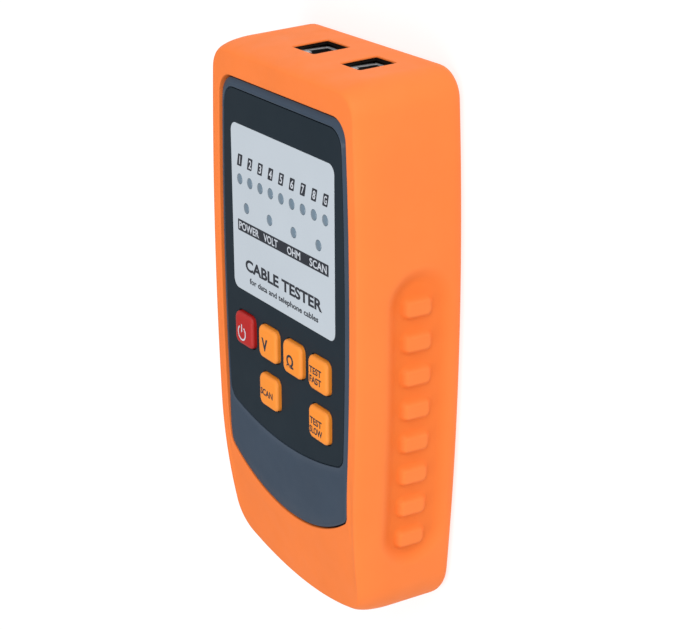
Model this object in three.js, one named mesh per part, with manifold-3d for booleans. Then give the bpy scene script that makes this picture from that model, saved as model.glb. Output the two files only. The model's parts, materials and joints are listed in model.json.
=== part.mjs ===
// Handheld cable tester: a two-part plastic case with keys, LEDs and two modular
// jacks, in a rubber boot. Millimetres. The tester lies on its back: +Z points out
// of its face, +Y towards the jacks, and the origin is under the middle of the boot.

import * as THREE from "three";
import { mergeVertices } from "three/addons/utils/BufferGeometryUtils.js";
import Module from "manifold-3d";

const wasm = await Module();
wasm.setup();

// ---------------------------------------------------------------- driving dimensions

const GAP = 0.3;                    // clearance between pieces that touch

// Outline of the boot, seen from the front
const HALF_WIDTH = 42.1;
const HALF_LENGTH = 81.3;
const WIDEST_Y = 16.5;              // the sides are arcs, furthest apart here
const SIDE_RADIUS = 800;
const TOP_CORNER = 9;
const BOTTOM_CORNER = 12;
const BOTTOM_RADIUS = 101;
const TOP_LEAN = 0.05;              // the top end leans back, per millimetre of height

// Heights above the surface that the back of the boot lies on
const LIP_Z = 33.5;                 // front of the boot
const DECK_Z = 33.4;                // face of the case inside the boot's lip
const PART_Z = 15;                  // joint between front and rear case
const REAR_Z = 2.3;                 // back of the case
const BOARD_Z = 24;                 // underside of the circuit board
const BOARD_THICKNESS = 1.6;

// The front falls away towards the bottom end
const ROLL_START = -30.7;
const ROLL_DROP = 6;

// Boot
const BOOT_WALL = 3;
const BOOT_TOP_WALL = 1.6;
const BOOT_BACK = 2;
const BOOT_LIP = 2.6;
const BACK_ROUND = 3.4;
const FRONT_ROUND_IN = 2.8;
const FRONT_ROUND_DOWN = 10.6;
const WINDOW_INSET = 8.5;           // width of the boot's rim round its open back

// Case
const CASE_WALL = 2.2;
const SHOULDER_Z = LIP_Z - BOOT_LIP - 2 * GAP;
const DECK_PLATE = 2.4;
const REAR_PLATE = 2;

// Bezel, overlay and label on the face
const BEZEL = {
  halfWidth: 35.9, top: 70.6, bottom: -56.2, topCorner: 6.5, bottomCorner: 4, bottomRadius: 54 };
const OVERLAY = {
  halfWidth: 33.1, top: 67.2, bottom: -33.1, topCorner: 5.5, bottomCorner: 4.5, bottomRadius: 105 };
const OVERLAY_TOP = 33.2;
const OVERLAY_THICKNESS = 0.4;
const LABEL = { width: 56.4, height: 49.6, y: 32.4, corner: 2.7 };

// Grip recess and ribs in each side of the boot
const GRIP = { top: 27.7, bottom: -58.5, z: 14.2, halfWidth: 9, depth: 1.2 };
const RIB = { count: 8, pitch: 10, firstY: 18.2, z: 14.9, length: 8.5, height: 5.2, corner: 1.6 };

// Keys
const KEY = { width: 10.3, height: 10, corner: 1.6, proud: 1.5, column: 14 };
const KEY_ROWS = [-4.2, -19.1];
const KEYS = [
  { name: "key_power", column: -1.5, row: 0, colour: 0xc83228 },
  { name: "key_volt", column: -0.5, row: 0, colour: 0xff9637 },
  { name: "key_ohm", column: 0.5, row: 0, colour: 0xff9637 },
  { name: "key_test_fast", column: 1.5, row: 0, colour: 0xff9637 },
  { name: "key_scan", column: -0.5, row: 1, colour: 0xff9637 },
  { name: "key_test_slow", column: 1.5, row: 1, colour: 0xff9637 },
];

// Indicator LEDs
const LED = { radius: 1.5, top: 33.6, rowY: 41.1, pitch: 5.91, statusY: 33.1, statusPitch: 13.35 };
const LED_ROW = ["1", "2", "3", "4", "5", "6", "7", "8", "g"];
const LED_STATUS = ["power", "volt", "ohm", "scan"];

// Modular jacks in the top end; cavity is the plug's own cross-section
const JACK_MOUTH_Y = 78.75;
const JACK_Z = 16.1;
const JACKS = [
  { name: "rj45", x: -6.2, width: 15.2, depth: 15, cavity: 11.8, cutout: 12.2, contacts: 8 },
  { name: "rj11", x: 18.2, width: 13.2, depth: 15, cavity: 9.8, cutout: 10.2, contacts: 6 },
];
const JACK_TOP_Z = BOARD_Z - GAP;
const JACK_HEIGHT = 14.2;
const CUTOUT_HEIGHT = 11.8;
const PLUG = { bottom: 10.4, height: 6.8, depth: 12.5, latchWidth: 6.2, latchHeight: 3.8 };
const CONTACT_PITCH = 1.02;

// The case stands up round each jack, into a thin place in the boot
const PORT_SKIN = 0.45;             // thickness of the boot there
const PORT_MARGIN = 2.8;            // width of the case's raised surround
const PORT_RIM = 0.5;               // thickness of the surround over the edges of a jack
const PORT_BASE = 4.5;              // the surround and its relief start this far below the end

// Battery and its cover
const BATTERY = { width: 26.5, length: 46.4, height: 17.5, bottomY: -62, z: 5, terminal: 2.1 };
const HATCH = { halfWidth: 14.8, bottom: -65.2, top: -7.8 };
const COVER = { halfWidth: 14.3, bottom: -64.2, top: -8.4, thickness: 1.8 };
const HOOK = { x: [-8, 8], halfWidth: 2.4, outer: -66.3, inner: -63, top: 5.5 };
const TUB = { halfWidth: 14.2, bottom: -64.9, top: -7.4, wall: 1.4, height: 15 };

// Screws, by the places of their bosses
const CASE_SCREWS = [[-28.5, 60], [28.5, 60], [-26, -62], [26, -62]];
const BOARD_SCREWS = [[-24.5, 56], [24.5, 56], [-24.5, -29.5], [24.5, -29.5]];

// ---------------------------------------------------------------- solids and booleans

// A geometry as a solid that can be cut and joined
function solid(geometry) {
  const bare = geometry.clone();
  bare.deleteAttribute("normal");
  bare.deleteAttribute("uv");
  const merged = mergeVertices(bare, 1e-5);
  const vertProperties = new Float32Array(merged.attributes.position.array);
  const triVerts = new Uint32Array(merged.index.array);
  return new wasm.Manifold(new wasm.Mesh({ numProp: 3, vertProperties, triVerts }));
}

function geometryOf(manifold) {
  const mesh = manifold.getMesh();
  const geometry = new THREE.BufferGeometry();
  geometry.setAttribute("position", new THREE.BufferAttribute(new Float32Array(mesh.vertProperties), 3));
  geometry.setIndex(new THREE.BufferAttribute(new Uint32Array(mesh.triVerts), 1));
  geometry.computeVertexNormals();
  return geometry;
}

function join(...solids) {
  return solids.reduce((sum, piece) => sum.add(piece));
}

function cut(base, ...tools) {
  return tools.reduce((rest, tool) => rest.subtract(tool), base);
}

function box(x0, x1, y0, y1, z0, z1) {
  const geometry = new THREE.BoxGeometry(x1 - x0, y1 - y0, z1 - z0);
  geometry.translate((x0 + x1) / 2, (y0 + y1) / 2, (z0 + z1) / 2);
  return solid(geometry);
}

// An upright round bar
function rod(x, y, z0, z1, radius, sides = 10) {
  const geometry = new THREE.CylinderGeometry(radius, radius, z1 - z0, sides);
  geometry.rotateX(Math.PI / 2);
  geometry.translate(x, y, (z0 + z1) / 2);
  return solid(geometry);
}

function extrude(shape, depth, bevel = {}) {
  return new THREE.ExtrudeGeometry(shape, { depth, bevelEnabled: false, curveSegments: 2, ...bevel });
}

// A flat shape drawn in X and Y, extruded upwards
function prismZ(shape, z0, z1) {
  const geometry = extrude(shape, z1 - z0);
  geometry.translate(0, 0, z0);
  return solid(geometry);
}

// A flat shape drawn in Y and Z, extruded across
function prismX(shape, x0, x1) {
  const geometry = extrude(shape, x1 - x0);
  const turn = new THREE.Matrix4().makeBasis(
    new THREE.Vector3(0, 1, 0), new THREE.Vector3(0, 0, 1), new THREE.Vector3(1, 0, 0));
  geometry.applyMatrix4(turn);
  geometry.translate(x0, 0, 0);
  return solid(geometry);
}

function roundedRect(cx, cy, width, height, corner) {
  const x = cx - width / 2;
  const y = cy - height / 2;
  const shape = new THREE.Shape();
  shape.moveTo(x + corner, y);
  shape.lineTo(x + width - corner, y);
  shape.absarc(x + width - corner, y + corner, corner, -Math.PI / 2, 0);
  shape.lineTo(x + width, y + height - corner);
  shape.absarc(x + width - corner, y + height - corner, corner, 0, Math.PI / 2);
  shape.lineTo(x + corner, y + height);
  shape.absarc(x + corner, y + height - corner, corner, Math.PI / 2, Math.PI);
  shape.lineTo(x, y + corner);
  shape.absarc(x + corner, y + corner, corner, Math.PI, Math.PI * 1.5);
  return shape;
}

// ---------------------------------------------------------------- outlines of the body

function arc(centre, radius, from, to, steps) {
  const points = [];
  for (let i = 0; i <= steps; i++) {
    const angle = from + (to - from) * i / steps;
    points.push(new THREE.Vector2(
      centre.x + radius * Math.cos(angle), centre.y + radius * Math.sin(angle)));
  }
  return points;
}

// Centre of the circle that touches two larger circles from inside
function cornerCentre(a, radiusA, b, radiusB) {
  const line = new THREE.Vector2().subVectors(b, a);
  const distance = line.length();
  const along = (radiusA ** 2 - radiusB ** 2 + distance ** 2) / (2 * distance);
  const across = Math.sqrt(radiusA ** 2 - along ** 2);
  line.divideScalar(distance);
  return new THREE.Vector2(
    a.x + line.x * along - line.y * across, a.y + line.y * along + line.x * across);
}

// A barrel-shaped outline: flat top, bowed sides, arched bottom, round corners.
// Every outline has the same number of points, so that outlines can be lofted.
function outline({ halfWidth, top, bottom, topCorner, bottomCorner, bottomRadius }) {
  const side = new THREE.Vector2(halfWidth - SIDE_RADIUS, WIDEST_Y);
  const topY = top - topCorner;
  const topX = side.x + Math.sqrt((SIDE_RADIUS - topCorner) ** 2 - (topY - side.y) ** 2);
  const topCentre = new THREE.Vector2(topX, topY);
  const base = new THREE.Vector2(0, bottom + bottomRadius);
  const bottomCentre = cornerCentre(
    base, bottomRadius - bottomCorner, side, SIDE_RADIUS - bottomCorner);
  const angleTo = (from, to) => Math.atan2(to.y - from.y, to.x - from.x);
  const sideTop = angleTo(side, topCentre);
  const sideBottom = angleTo(side, bottomCentre);
  const baseAngle = angleTo(base, bottomCentre);
  const right = [
    new THREE.Vector2(0, top),
    ...arc(topCentre, topCorner, Math.PI / 2, sideTop, 4),
    ...arc(side, SIDE_RADIUS, sideTop, sideBottom, 7).slice(1, -1),
    ...arc(bottomCentre, bottomCorner, sideBottom, baseAngle, 4),
    ...arc(base, bottomRadius, baseAngle, -Math.PI / 2, 4).slice(1),
  ];
  const left = right.slice(1, -1).map((p) => new THREE.Vector2(-p.x, p.y));
  return [...left, ...right.reverse()];
}

function shrunk(spec, inset) {
  return {
    ...spec,
    halfWidth: spec.halfWidth - inset,
    top: spec.top - inset,
    bottom: spec.bottom + inset,
  };
}

// The boot's outline, moved in by wall at the sides and bottom and by topWall at the
// top. The top end leans back as it rises.
function bodyOutline(wall, topWall = wall, height = 0) {
  return outline({
    halfWidth: HALF_WIDTH - wall,
    top: HALF_LENGTH - topWall - TOP_LEAN * (height - BACK_ROUND),
    bottom: wall - HALF_LENGTH,
    topCorner: Math.max(TOP_CORNER - wall, 2),
    bottomCorner: Math.max(BOTTOM_CORNER - wall, 3),
    bottomRadius: BOTTOM_RADIUS - wall,
  });
}

// How far the front has fallen at a place along the tester
function roll(y) {
  return ROLL_DROP * (Math.max(ROLL_START - y, 0) / (HALF_LENGTH + ROLL_START)) ** 2;
}

// An outline raised to a height, or to heightAt(y)
function ring(points, height) {
  const heightAt = typeof height === "function" ? height : () => height;
  return points.map((p) => new THREE.Vector3(p.x, p.y, heightAt(p.y)));
}

function bodyRing(wall, topWall, height) {
  const topHeight = typeof height === "function" ? height(0) : height;
  return ring(bodyOutline(wall, topWall, topHeight), height);
}

// Points part of the way from one outline to another
function between(from, to, share) {
  return from.map((p, i) => p.clone().lerp(to[i], share));
}

// A closed skin over rings: capped at both ends, or joined end to end
function loft(rings, joined = false) {
  const count = rings[0].length;
  const vertices = rings.flat();
  const index = [];
  const bands = joined ? rings.length : rings.length - 1;
  for (let r = 0; r < bands; r++) {
    const a = r * count;
    const b = (r + 1) % rings.length * count;
    for (let i = 0; i < count; i++) {
      const j = (i + 1) % count;
      index.push(a + i, a + j, b + j, a + i, b + j, b + i);
    }
  }
  if (!joined) {
    const last = (rings.length - 1) * count;
    const flat = rings.map((points) => points.map((p) => new THREE.Vector2(p.x, p.y)));
    for (const [i, j, k] of THREE.ShapeUtils.triangulateShape(flat[0], [])) {
      index.push(i, k, j);
    }
    for (const [i, j, k] of THREE.ShapeUtils.triangulateShape(flat.at(-1), [])) {
      index.push(last + i, last + j, last + k);
    }
  }
  const coordinates = vertices.flatMap((p) => [p.x, p.y, p.z]);
  const geometry = new THREE.BufferGeometry();
  geometry.setAttribute("position", new THREE.Float32BufferAttribute(coordinates, 3));
  geometry.setIndex(index);
  return solid(geometry);
}

// The space under the rolled-off front at a given height
function under(height) {
  const shape = new THREE.Shape();
  shape.moveTo(2 * HALF_LENGTH, -5);
  shape.lineTo(2 * HALF_LENGTH, height);
  const steps = 5;
  for (let i = 0; i <= steps; i++) {
    const y = ROLL_START + (-HALF_LENGTH - ROLL_START) * i / steps;
    shape.lineTo(y, height - roll(y));
  }
  shape.lineTo(-2 * HALF_LENGTH, height - ROLL_DROP);
  shape.lineTo(-2 * HALF_LENGTH, -5);
  return prismX(shape, -HALF_WIDTH * 2, HALF_WIDTH * 2);
}

// A block with an outline's section
function column(points, z0, z1) {
  return loft([ring(points, z0), ring(points, z1)]);
}

// A block with the body's section, moved in by wall and topWall
function bodyColumn(wall, topWall, z0, z1) {
  return loft([bodyRing(wall, topWall, z0), bodyRing(wall, topWall, z1)]);
}

// ---------------------------------------------------------------- boot and case

function gripCutter(side) {
  const floor = bodyColumn(GRIP.depth, 0, -1, LIP_Z + 1);
  const slot = roundedRect((GRIP.top + GRIP.bottom) / 2, GRIP.z,
    GRIP.top - GRIP.bottom, 2 * GRIP.halfWidth, GRIP.halfWidth - 0.01);
  for (let i = 0; i < RIB.count; i++) {
    slot.holes.push(roundedRect(RIB.firstY - i * RIB.pitch, RIB.z, RIB.height, RIB.length, RIB.corner));
  }
  const reach = HALF_WIDTH / 2;
  const slab = side > 0 ? prismX(slot, reach, 2 * HALF_WIDTH) : prismX(slot, -2 * HALF_WIDTH, -reach);
  return slab.subtract(floor);
}

function rubberBoot() {
  const bezel = outline(BEZEL);
  const backWindow = bodyOutline(WINDOW_INSET);
  const lipEdge = bodyOutline(FRONT_ROUND_IN, FRONT_ROUND_IN, LIP_Z);
  const cavity = bodyOutline(BOOT_WALL, BOOT_TOP_WALL, LIP_Z - BOOT_LIP);
  const lipTop = (y) => LIP_Z - roll(y);
  const lipUnder = (y) => LIP_Z - BOOT_LIP - roll(y);
  const turns = [30, 60, 90].map((degrees) => degrees * Math.PI / 180);
  const backRound = turns.map((turn) => {
    const inset = BACK_ROUND * (1 - Math.sin(turn));
    return bodyRing(inset, inset, BACK_ROUND * (1 - Math.cos(turn)));
  });
  const frontRound = [...turns].reverse().map((turn) => {
    const inset = FRONT_ROUND_IN * (1 - Math.sin(turn));
    return bodyRing(inset, inset, (y) => lipTop(y) - FRONT_ROUND_DOWN * (1 - Math.cos(turn)));
  });
  const skin = loft([
    ring(backWindow, 0),
    bodyRing(BACK_ROUND, BACK_ROUND, 0),
    ...backRound,
    ...frontRound,
    ring(lipEdge, lipTop),
    ring(between(lipEdge, bezel, 0.5), lipTop),
    ring(bezel, lipTop),
    ring(bezel, lipUnder),
    ring(between(cavity, bezel, 0.5), lipUnder),
    ring(cavity, lipUnder),
    bodyRing(BOOT_WALL, BOOT_TOP_WALL, BOOT_BACK + BOOT_WALL),
    bodyRing(2 * BOOT_WALL, BOOT_TOP_WALL + BOOT_WALL, BOOT_BACK),
    ring(backWindow, BOOT_BACK),
  ], true);
  return cut(skin, gripCutter(1), gripCutter(-1), ...portBlocks(0, -1),
    ...portBlocks(PORT_MARGIN + GAP, PORT_SKIN));
}

// Blocks over the openings for the jacks, wider than them by margin all round, and
// ending at a depth below the boot's surface
function portBlocks(margin, depth) {
  const limit = bodyColumn(0, depth, 0, LIP_Z);
  return JACKS.map((jack) => box(
    jack.x - jack.cutout / 2 - margin, jack.x + jack.cutout / 2 + margin,
    HALF_LENGTH - PORT_BASE, HALF_LENGTH + 2,
    JACK_Z - CUTOUT_HEIGHT / 2 - margin, JACK_Z + CUTOUT_HEIGHT / 2 + margin).intersect(limit));
}

// The case's raised surrounds, between two heights
function surrounds(z0, z1) {
  const slice = box(-HALF_WIDTH, HALF_WIDTH, 0, 2 * HALF_LENGTH, z0, z1);
  return portBlocks(PORT_MARGIN, PORT_SKIN + GAP).map((block) => block.intersect(slice));
}

// Room for the jacks in the case and its surrounds, and the openings to them
function jackNotches() {
  const limit = bodyColumn(0, PORT_SKIN + GAP + PORT_RIM, 0, LIP_Z);
  const rooms = JACKS.map((jack) => box(
    jack.x - jack.width / 2 - GAP, jack.x + jack.width / 2 + GAP, HALF_LENGTH - 12, HALF_LENGTH + 2,
    JACK_TOP_Z - JACK_HEIGHT - GAP, BOARD_Z).intersect(limit));
  return [...rooms, ...portBlocks(-GAP / 2, -1)];
}

// The case fills the boot's cavity: its section, moved in by inset
function caseRing(inset, height) {
  return bodyRing(BOOT_WALL + GAP + inset, BOOT_TOP_WALL + GAP + inset, height);
}

function caseColumn(inset, z0, z1) {
  return loft([caseRing(inset, z0), caseRing(inset, z1)]);
}

function ledPlaces() {
  const row = LED_ROW.map((label, i) => ({
    name: `led_${label}`, x: (i - (LED_ROW.length - 1) / 2) * LED.pitch, y: LED.rowY }));
  const status = LED_STATUS.map((label, i) => ({
    name: `led_${label}`, x: (i - (LED_STATUS.length - 1) / 2) * LED.statusPitch, y: LED.statusY }));
  return [...row, ...status];
}

function ledHoles(radius, z0, z1) {
  return ledPlaces().map((led) => rod(led.x, led.y, z0, z1, radius));
}

function keyHoles(clearance, z0, z1) {
  return KEYS.map((key) => prismZ(roundedRect(key.column * KEY.column, KEY_ROWS[key.row],
    KEY.width + 2 * clearance, KEY.height + 2 * clearance, KEY.corner + clearance), z0, z1));
}

function frontCase() {
  const bottom = PART_Z + GAP / 2;
  const deckUnder = DECK_Z - DECK_PLATE;
  const bezel = shrunk(BEZEL, GAP);
  const inside = shrunk(BEZEL, GAP + CASE_WALL);
  const shell = join(
    caseColumn(0, bottom, LIP_Z).intersect(under(SHOULDER_Z)),
    column(outline(bezel), PART_Z + 10, LIP_Z).intersect(under(DECK_Z)));
  const hollow = join(
    caseColumn(CASE_WALL, 0, LIP_Z).intersect(under(SHOULDER_Z - CASE_WALL)),
    column(outline(inside), PART_Z + 10, LIP_Z).intersect(under(deckUnder)));
  const pocket = column(
    outline(shrunk(OVERLAY, -GAP)), OVERLAY_TOP - OVERLAY_THICKNESS - GAP, LIP_Z);
  const postTop = (y) => (y > BEZEL.bottom ? deckUnder + 0.1 : SHOULDER_Z - 1) - roll(y - 3);
  const posts = CASE_SCREWS.map(([x, y]) => rod(x, y, 12, postTop(y), 3));
  const boardPosts = BOARD_SCREWS.map(([x, y]) => rod(
    x, y, BOARD_Z + BOARD_THICKNESS + GAP, DECK_Z - 1, 2.4));
  const pilots = CASE_SCREWS.map(([x, y]) => rod(x, y, 0, 22, 1.7));
  const boardPilots = BOARD_SCREWS.map(([x, y]) => rod(x, y, BOARD_Z, 30, 1.3));
  return cut(join(cut(shell, hollow), ...surrounds(bottom, LIP_Z), ...posts, ...boardPosts), pocket,
    ...keyHoles(GAP, deckUnder - 1, LIP_Z), ...ledHoles(1.8, deckUnder - 1, LIP_Z),
    ...pilots, ...boardPilots, ...jackNotches());
}

function rearCase() {
  const top = PART_Z - GAP / 2;
  const shell = loft([
    caseRing(BOOT_WALL, REAR_Z), caseRing(0, REAR_Z + BOOT_WALL), caseRing(0, top)]);
  const hollow = caseColumn(CASE_WALL + 0.8, REAR_Z + REAR_PLATE, top + 1);
  const tub = cut(
    box(-TUB.halfWidth - TUB.wall, TUB.halfWidth + TUB.wall,
      TUB.bottom - TUB.wall, TUB.top + TUB.wall, REAR_Z + 1, TUB.height),
    box(-TUB.halfWidth, TUB.halfWidth, TUB.bottom, TUB.top, 0, TUB.height + 1));
  const hatch = box(
    -HATCH.halfWidth, HATCH.halfWidth, HATCH.bottom, HATCH.top, 0, REAR_Z + REAR_PLATE);
  const hookSlots = HOOK.x.map((x) => box(
    x - HOOK.halfWidth - 0.8, x + HOOK.halfWidth + 0.8, TUB.bottom - 4, TUB.bottom + 1,
    REAR_Z + REAR_PLATE, 9));
  const bosses = CASE_SCREWS.map(([x, y]) => rod(x, y, REAR_Z, 11.7, 3.3));
  const bores = CASE_SCREWS.map(([x, y]) => rod(x, y, 0, 12, 1.7));
  const sinks = CASE_SCREWS.map(([x, y]) => rod(x, y, 0, 4.7, 2.7));
  return cut(join(cut(shell, hollow), ...surrounds(0, top), tub, ...bosses),
    hatch, ...hookSlots, ...bores, ...sinks, ...jackNotches());
}

// Cover of the battery bay: a plate with two hinge hooks and a finger grip
function batteryCover() {
  const plateTop = REAR_Z + COVER.thickness;
  const middle = (COVER.top + COVER.bottom) / 2;
  const shape = roundedRect(0, middle, 2 * COVER.halfWidth, COVER.top - COVER.bottom, 1);
  const plate = prismZ(shape, REAR_Z, plateTop);
  const hooks = HOOK.x.flatMap((x) => [
    box(x - HOOK.halfWidth, x + HOOK.halfWidth, COVER.bottom + 0.2, HOOK.inner, plateTop - 0.5, HOOK.top),
    box(x - HOOK.halfWidth, x + HOOK.halfWidth, HOOK.outer, HOOK.inner, HOOK.top - 0.8, HOOK.top)]);
  const grooves = [0, 1, 2, 3].map((i) => box(
    -5, 5, COVER.top - 6 - 2 * i, COVER.top - 5 - 2 * i, REAR_Z - 1, REAR_Z + 0.6));
  const tongueSides = [-7.5, 7].map((x) => box(x, x + 0.5, COVER.top - 14, COVER.top + 1, 0, 5));
  return cut(join(plate, ...hooks), ...grooves, ...tongueSides);
}

// ---------------------------------------------------------------- face and keys

function faceOverlay() {
  const bottom = OVERLAY_TOP - OVERLAY_THICKNESS;
  const sheet = column(outline(OVERLAY), bottom, OVERLAY_TOP);
  const window = roundedRect(
    0, LABEL.y, LABEL.width + 2 * GAP, LABEL.height + 2 * GAP, LABEL.corner + GAP);
  return cut(sheet, prismZ(window, bottom - 1, LIP_Z), ...keyHoles(2 * GAP, bottom - 1, LIP_Z));
}

function labelPlate() {
  const bottom = OVERLAY_TOP - OVERLAY_THICKNESS;
  const shape = roundedRect(0, LABEL.y, LABEL.width, LABEL.height, LABEL.corner);
  return cut(prismZ(shape, bottom, OVERLAY_TOP), ...ledHoles(1.7, bottom - 1, LIP_Z));
}

const KEY_FLANGE_Z = DECK_Z - DECK_PLATE - GAP;

// Key cap, made about its own middle: a rounded block on a wider flange and a stem
function keyCap() {
  const bevel = 0.6;
  const shape = roundedRect(0, 0, KEY.width - 2 * bevel, KEY.height - 2 * bevel, KEY.corner - bevel);
  const height = DECK_Z + KEY.proud - KEY_FLANGE_Z;
  const block = extrude(shape, height, {
    bevelEnabled: true, bevelThickness: bevel, bevelSize: bevel, bevelSegments: 2 });
  block.translate(0, 0, KEY_FLANGE_Z - bevel);
  const cap = solid(block).subtract(box(-9, 9, -9, 9, 0, KEY_FLANGE_Z - 0.2));
  const flange = box(-6.1, 6.1, -6, 6, KEY_FLANGE_Z - 0.9, KEY_FLANGE_Z);
  const stem = rod(0, 0, KEY_FLANGE_Z - 3, KEY_FLANGE_Z - 0.5, 2.2);
  return join(cap, flange, stem);
}

function carbonPill() {
  return rod(0, 0, KEY_FLANGE_Z - 3.7, KEY_FLANGE_Z - 3.3, 2);
}

function keypadMat() {
  const z = BOARD_Z + BOARD_THICKNESS + GAP;
  const sheet = prismZ(roundedRect(0, -10.5, 54, 30, 2), z, z + 0.8);
  const centres = KEYS.map((key) => [key.column * KEY.column, KEY_ROWS[key.row]]);
  const collars = centres.map(([x, y]) => rod(x, y, z + 0.3, z + 2.2, 4.2));
  const holes = centres.map(([x, y]) => rod(x, y, z - 1, z + 3, 3));
  return cut(join(sheet, ...collars), ...holes);
}

// ---------------------------------------------------------------- electronics

function mainBoard() {
  const top = BOARD_Z + BOARD_THICKNESS;
  const board = prismZ(roundedRect(0, 20.7, 55.2, 109.4, 1.5), BOARD_Z, top);
  const notches = CASE_SCREWS.slice(0, 2).map(([x, y]) => rod(x, y, BOARD_Z - 1, top + 1, 3.5));
  const holes = BOARD_SCREWS.map(([x, y]) => rod(x, y, BOARD_Z - 1, top + 1, 1.3));
  return cut(board, ...notches, ...holes);
}

function ledHolder() {
  const z = BOARD_Z + BOARD_THICKNESS + GAP;
  const block = prismZ(roundedRect(0, 37.1, 54, 14, 1.5), z, DECK_Z - DECK_PLATE - GAP);
  return cut(block, ...ledHoles(1.85, z - 1, DECK_Z));
}

function ledLens() {
  const bottom = BOARD_Z + BOARD_THICKNESS + GAP;
  const dome = LED.top - LED.radius;
  const profile = [
    [0, bottom], [LED.radius + 0.1, bottom], [LED.radius + 0.1, bottom + 0.8],
    [LED.radius, bottom + 0.8], [LED.radius, dome],
    [LED.radius * 0.71, dome + LED.radius * 0.71], [0, LED.top]];
  const geometry = new THREE.LatheGeometry(profile.map(([x, y]) => new THREE.Vector2(x, y)), 10);
  geometry.rotateX(Math.PI / 2);
  return solid(geometry);
}

function plugSpace(jack, grow, depth) {
  const floorY = JACK_MOUTH_Y - depth;
  const latchTop = PLUG.bottom + PLUG.height + PLUG.latchHeight;
  return join(
    box(jack.x - jack.cavity / 2 - grow, jack.x + jack.cavity / 2 + grow, floorY, JACK_MOUTH_Y + 1,
      PLUG.bottom - grow, PLUG.bottom + PLUG.height + grow),
    box(jack.x - PLUG.latchWidth / 2, jack.x + PLUG.latchWidth / 2, floorY, JACK_MOUTH_Y + 1,
      PLUG.bottom + 1, latchTop));
}

function jackBlock(jack, inset) {
  return box(jack.x - jack.width / 2 + inset, jack.x + jack.width / 2 - inset,
    JACK_MOUTH_Y - jack.depth + inset, JACK_MOUTH_Y - inset,
    JACK_TOP_Z - JACK_HEIGHT + inset, JACK_TOP_Z - inset);
}

// Plated steel shell round the jack, open where the plug goes in and under the board
function jackShell(jack) {
  const legs = box(jack.x - jack.width / 2 + 1, jack.x + jack.width / 2 - 1,
    JACK_MOUTH_Y - jack.depth - 1, JACK_MOUTH_Y - jack.depth + 1, JACK_TOP_Z - 4, JACK_TOP_Z - 1);
  return cut(jackBlock(jack, 0), jackBlock(jack, 0.25), plugSpace(jack, 0, 2), legs);
}

function jackInsert(jack) {
  return cut(jackBlock(jack, 0.5), plugSpace(jack, 0, PLUG.depth));
}

// A comb of sprung contacts across the bottom of the plug's space
function jackContacts(jack) {
  const width = CONTACT_PITCH * (jack.contacts - 1) + 0.5;
  const backY = JACK_MOUTH_Y - PLUG.depth + 0.3;
  const bar = box(jack.x - width / 2, jack.x + width / 2, backY, backY + 1,
    PLUG.bottom + 0.3, PLUG.bottom + 2);
  const spring = new THREE.Shape();
  spring.moveTo(backY + 0.5, PLUG.bottom + 1.4);
  spring.lineTo(backY + 0.5, PLUG.bottom + 2);
  spring.lineTo(JACK_MOUTH_Y - 2.6, PLUG.bottom + 0.7);
  spring.lineTo(JACK_MOUTH_Y - 2.6, PLUG.bottom + 0.3);
  const springs = [];
  for (let i = 0; i < jack.contacts; i++) {
    const x = jack.x - width / 2 + i * CONTACT_PITCH;
    springs.push(prismX(spring, x, x + 0.5));
  }
  return join(bar, ...springs);
}

// A chip or other flat-bottomed component hanging under the board
function underBoard(x, y, width, length, height) {
  return prismZ(roundedRect(x, y, width, length, 0.5), BOARD_Z - GAP - height, BOARD_Z - GAP);
}

function lyingCapacitor() {
  const geometry = new THREE.CylinderGeometry(3, 3, 11, 14);
  geometry.translate(-17, 47, BOARD_Z - GAP - 3);
  return solid(geometry);
}

function caseScrew([x, y]) {
  return join(rod(x, y, 2.7, 4.4, 2.4), rod(x, y, 4, 20, 1.4));
}

function boardScrew([x, y]) {
  const seat = BOARD_Z - GAP;
  return join(rod(x, y, seat - 1.6, seat, 2.2), rod(x, y, seat - 1, 29.5, 1));
}

// ---------------------------------------------------------------- battery

function battery() {
  const { width, length, height, bottomY, z, terminal } = BATTERY;
  const section = roundedRect(0, 0, width, height, 2);
  const body = extrude(section, length);
  body.rotateX(Math.PI / 2);
  body.translate(0, bottomY + length, z + height / 2);
  const stud = (x, radius) => {
    const geometry = new THREE.CylinderGeometry(radius, radius, terminal + 1, 12);
    geometry.translate(x, bottomY + length + (terminal - 1) / 2, z + height / 2);
    return solid(geometry);
  };
  return join(solid(body), stud(-6.35, 2.9), stud(6.35, 4.1));
}

function batterySnap() {
  const start = BATTERY.bottomY + BATTERY.length + BATTERY.terminal + GAP;
  const middle = BATTERY.z + BATTERY.height / 2;
  const plate = box(-12.5, 12.5, start, start + 2, middle - 6, middle + 6);
  const back = box(-9, 9, start + 1.5, start + 4.6, middle - 3.5, middle + 4.5);
  return join(plate, back);
}

function batteryLead(side) {
  const x = 4 * side;
  const start = BATTERY.bottomY + BATTERY.length + BATTERY.terminal + GAP + 4.6;
  const route = new THREE.CatmullRomCurve3([
    new THREE.Vector3(x, start + GAP, 17),
    new THREE.Vector3(x, start + 3, 17.4),
    new THREE.Vector3(x * 1.3, start + 7, 19.5),
    new THREE.Vector3(x * 1.3, start + 9, 22.5),
    new THREE.Vector3(x * 1.3, start + 9.5, BOARD_Z - GAP)]);
  const section = new THREE.Shape();
  section.absarc(0, 0, 0.75, 0, 2 * Math.PI);
  return solid(new THREE.ExtrudeGeometry(section, { extrudePath: route, steps: 8, curveSegments: 4 }));
}

// ---------------------------------------------------------------- assembly

const tester = new THREE.Group();

function add(name, shape, colour, roughness = 0.5, metalness = 0, x = 0, y = 0) {
  const material = new THREE.MeshStandardMaterial({ color: colour, roughness, metalness });
  const mesh = new THREE.Mesh(geometryOf(shape), material);
  mesh.name = name;
  mesh.position.set(x, y, 0);
  tester.add(mesh);
}

const STEEL = 0xb8bcc0;
const SLATE = 0x46505c;

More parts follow.
